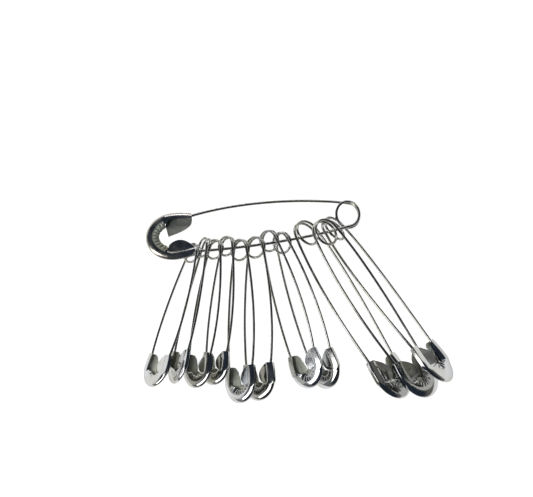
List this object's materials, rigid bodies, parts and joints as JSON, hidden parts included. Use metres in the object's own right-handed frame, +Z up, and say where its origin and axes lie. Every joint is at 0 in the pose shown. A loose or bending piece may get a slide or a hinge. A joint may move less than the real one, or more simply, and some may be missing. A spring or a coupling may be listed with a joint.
{
  "type": "safety pins",
  "caption": "A large closed safety pin that carries smaller closed safety pins threaded on its pointed arm through their coils, fanned out in three sizes.",
  "frame": {"origin": "middle of the bunch's box on the plane that it lies on", "axes": "+X runs along the carrier from its guard to its coil, +Y from the strung pins' guards to their coils, and +Z is up"},
  "size_m": [0.0758, 0.0516, 0.0108],
  "materials": {
    "wire_steel": "bright nickel-plated spring wire",
    "guard_steel": "bright nickel-plated sheet with a brushed sheen"
  },
  "bodies": {
    "carrier": {"carrier_guard": "guard_steel", "carrier_back_arm": "wire_steel", "carrier_coil": "wire_steel"},
    "carrier_pointed_arm": {"carrier_point_arm": "wire_steel"},
    "pin_01": {"pin_01_guard": "guard_steel", "pin_01_back_arm": "wire_steel", "pin_01_coil": "wire_steel"},
    "pin_01_pointed_arm": {"pin_01_point_arm": "wire_steel"},
    "pin_02": {"pin_02_guard": "guard_steel", "pin_02_back_arm": "wire_steel", "pin_02_coil": "wire_steel"},
    "pin_02_pointed_arm": {"pin_02_point_arm": "wire_steel"},
    "pin_03": {"pin_03_guard": "guard_steel", "pin_03_back_arm": "wire_steel", "pin_03_coil": "wire_steel"},
    "pin_03_pointed_arm": {"pin_03_point_arm": "wire_steel"},
    "pin_04": {"pin_04_guard": "guard_steel", "pin_04_back_arm": "wire_steel", "pin_04_coil": "wire_steel"},
    "pin_04_pointed_arm": {"pin_04_point_arm": "wire_steel"},
    "pin_05": {"pin_05_guard": "guard_steel", "pin_05_back_arm": "wire_steel", "pin_05_coil": "wire_steel"},
    "pin_05_pointed_arm": {"pin_05_point_arm": "wire_steel"},
    "pin_06": {"pin_06_guard": "guard_steel", "pin_06_back_arm": "wire_steel", "pin_06_coil": "wire_steel"},
    "pin_06_pointed_arm": {"pin_06_point_arm": "wire_steel"},
    "pin_07": {"pin_07_guard": "guard_steel", "pin_07_back_arm": "wire_steel", "pin_07_coil": "wire_steel"},
    "pin_07_pointed_arm": {"pin_07_point_arm": "wire_steel"},
    "pin_08": {"pin_08_guard": "guard_steel", "pin_08_back_arm": "wire_steel", "pin_08_coil": "wire_steel"},
    "pin_08_pointed_arm": {"pin_08_point_arm": "wire_steel"},
    "pin_09": {"pin_09_guard": "guard_steel", "pin_09_back_arm": "wire_steel", "pin_09_coil": "wire_steel"},
    "pin_09_pointed_arm": {"pin_09_point_arm": "wire_steel"},
    "pin_10": {"pin_10_guard": "guard_steel", "pin_10_back_arm": "wire_steel", "pin_10_coil": "wire_steel"},
    "pin_10_pointed_arm": {"pin_10_point_arm": "wire_steel"},
    "pin_11": {"pin_11_guard": "guard_steel", "pin_11_back_arm": "wire_steel", "pin_11_coil": "wire_steel"},
    "pin_11_pointed_arm": {"pin_11_point_arm": "wire_steel"}
  },
  "joints": [
    {"name": "carrier_opens", "type": "hinge", "parent": "carrier", "child": "carrier_pointed_arm", "pos_m": [0.01258, 0.02156, 0.0024], "axis": [-0.0224, 0.1375, 0.9903], "range_deg": [0, 30], "deforming": ["carrier_coil"]},
    {"name": "pin_01_swings", "type": "hinge", "parent": "carrier_pointed_arm", "child": "pin_01", "pos_m": [-0.00925, 0.01405, 0.0033], "axis": [-0.9894, -0.1425, -0.0271], "range_deg": [0, 90]},
    {"name": "pin_01_opens", "type": "hinge", "parent": "pin_01", "child": "pin_01_pointed_arm", "pos_m": [-0.02615, 0.01158, 0.00276], "axis": [-0.6718, 0.2224, 0.7065], "range_deg": [0, 30], "deforming": ["pin_01_coil"]},
    {"name": "pin_02_swings", "type": "hinge", "parent": "carrier_pointed_arm", "child": "pin_02", "pos_m": [-0.00925, 0.01405, 0.0033], "axis": [-0.9894, -0.1425, -0.0271], "range_deg": [0, 90]},
    {"name": "pin_02_opens", "type": "hinge", "parent": "pin_02", "child": "pin_02_pointed_arm", "pos_m": [-0.02316, 0.01295, 0.00316], "axis": [-0.8265, 0.1911, 0.5294], "range_deg": [0, 30], "deforming": ["pin_02_coil"]},
    {"name": "pin_03_swings", "type": "hinge", "parent": "carrier_pointed_arm", "child": "pin_03", "pos_m": [-0.00925, 0.01405, 0.0033], "axis": [-0.9894, -0.1425, -0.0271], "range_deg": [0, 90]},
    {"name": "pin_03_opens", "type": "hinge", "parent": "pin_03", "child": "pin_03_pointed_arm", "pos_m": [-0.02058, 0.01252, 0.00286], "axis": [-0.5966, 0.0787, 0.7986], "range_deg": [0, 30], "deforming": ["pin_03_coil"]},
    {"name": "pin_04_swings", "type": "hinge", "parent": "carrier_pointed_arm", "child": "pin_04", "pos_m": [-0.00925, 0.01405, 0.0033], "axis": [-0.9894, -0.1425, -0.0271], "range_deg": [0, 90]},
    {"name": "pin_04_opens", "type": "hinge", "parent": "pin_04", "child": "pin_04_pointed_arm", "pos_m": [-0.01759, 0.01335, 0.00282], "axis": [-0.6266, 0.0587, 0.7771], "range_deg": [0, 30], "deforming": ["pin_04_coil"]},
    {"name": "pin_05_swings", "type": "hinge", "parent": "carrier_pointed_arm", "child": "pin_05", "pos_m": [-0.00925, 0.01405, 0.0033], "axis": [-0.9894, -0.1425, -0.0271], "range_deg": [0, 90]},
    {"name": "pin_05_opens", "type": "hinge", "parent": "pin_05", "child": "pin_05_pointed_arm", "pos_m": [-0.01426, 0.01234, 0.00302], "axis": [-0.6293, -0.0003, 0.7771], "range_deg": [0, 30], "deforming": ["pin_05_coil"]},
    {"name": "pin_06_swings", "type": "hinge", "parent": "carrier_pointed_arm", "child": "pin_06", "pos_m": [-0.00925, 0.01405, 0.0033], "axis": [-0.9894, -0.1425, -0.0271], "range_deg": [0, 90]},
    {"name": "pin_06_opens", "type": "hinge", "parent": "pin_06", "child": "pin_06_pointed_arm", "pos_m": [-0.01042, 0.01299, 0.00321], "axis": [-0.5732, -0.0201, 0.8191], "range_deg": [0, 30], "deforming": ["pin_06_coil"]},
    {"name": "pin_07_swings", "type": "hinge", "parent": "carrier_pointed_arm", "child": "pin_07", "pos_m": [-0.00925, 0.01405, 0.0033], "axis": [-0.9894, -0.1425, -0.0271], "range_deg": [0, 90]},
    {"name": "pin_07_opens", "type": "hinge", "parent": "pin_07", "child": "pin_07_pointed_arm", "pos_m": [-0.00702, 0.01464, 0.00316], "axis": [-0.592, -0.1691, 0.788], "range_deg": [0, 30], "deforming": ["pin_07_coil"]},
    {"name": "pin_08_swings", "type": "hinge", "parent": "carrier_pointed_arm", "child": "pin_08", "pos_m": [-0.00925, 0.01405, 0.0033], "axis": [-0.9894, -0.1425, -0.0271], "range_deg": [0, 90]},
    {"name": "pin_08_opens", "type": "hinge", "parent": "pin_08", "child": "pin_08_pointed_arm", "pos_m": [-0.00382, 0.01415, 0.00313], "axis": [-0.6517, -0.2013, 0.7313], "range_deg": [0, 30], "deforming": ["pin_08_coil"]},
    {"name": "pin_09_swings", "type": "hinge", "parent": "carrier_pointed_arm", "child": "pin_09", "pos_m": [-0.00925, 0.01405, 0.0033], "axis": [-0.9894, -0.1425, -0.0271], "range_deg": [0, 90]},
    {"name": "pin_09_opens", "type": "hinge", "parent": "pin_09", "child": "pin_09_pointed_arm", "pos_m": [0.00229, 0.01658, 0.00304], "axis": [-0.5772, -0.3649, -0.7306], "range_deg": [0, 30], "deforming": ["pin_09_coil"]},
    {"name": "pin_10_swings", "type": "hinge", "parent": "carrier_pointed_arm", "child": "pin_10", "pos_m": [-0.00925, 0.01405, 0.0033], "axis": [-0.9894, -0.1425, -0.0271], "range_deg": [0, 90]},
    {"name": "pin_10_opens", "type": "hinge", "parent": "pin_10", "child": "pin_10_pointed_arm", "pos_m": [0.00684, 0.0157, 0.00809], "axis": [-0.5231, -0.2476, -0.8155], "range_deg": [0, 30], "deforming": ["pin_10_coil"]},
    {"name": "pin_11_swings", "type": "hinge", "parent": "carrier_pointed_arm", "child": "pin_11", "pos_m": [-0.00925, 0.01405, 0.0033], "axis": [-0.9894, -0.1425, -0.0271], "range_deg": [0, 90]},
    {"name": "pin_11_opens", "type": "hinge", "parent": "pin_11", "child": "pin_11_pointed_arm", "pos_m": [0.00911, 0.01768, 0.00303], "axis": [-0.6061, -0.4886, -0.6277], "range_deg": [0, 30], "deforming": ["pin_11_coil"]}
  ],
  "couplings": [
    {"joint": "pin_01_swings", "follows": "pin_06_swings", "ratio": 1},
    {"joint": "pin_02_swings", "follows": "pin_06_swings", "ratio": 1},
    {"joint": "pin_03_swings", "follows": "pin_06_swings", "ratio": 1},
    {"joint": "pin_04_swings", "follows": "pin_06_swings", "ratio": 1},
    {"joint": "pin_05_swings", "follows": "pin_06_swings", "ratio": 1},
    {"joint": "pin_07_swings", "follows": "pin_06_swings", "ratio": 1},
    {"joint": "pin_08_swings", "follows": "pin_06_swings", "ratio": 1},
    {"joint": "pin_09_swings", "follows": "pin_06_swings", "ratio": 1},
    {"joint": "pin_10_swings", "follows": "pin_06_swings", "ratio": 1},
    {"joint": "pin_11_swings", "follows": "pin_06_swings", "ratio": 1}
  ]
}
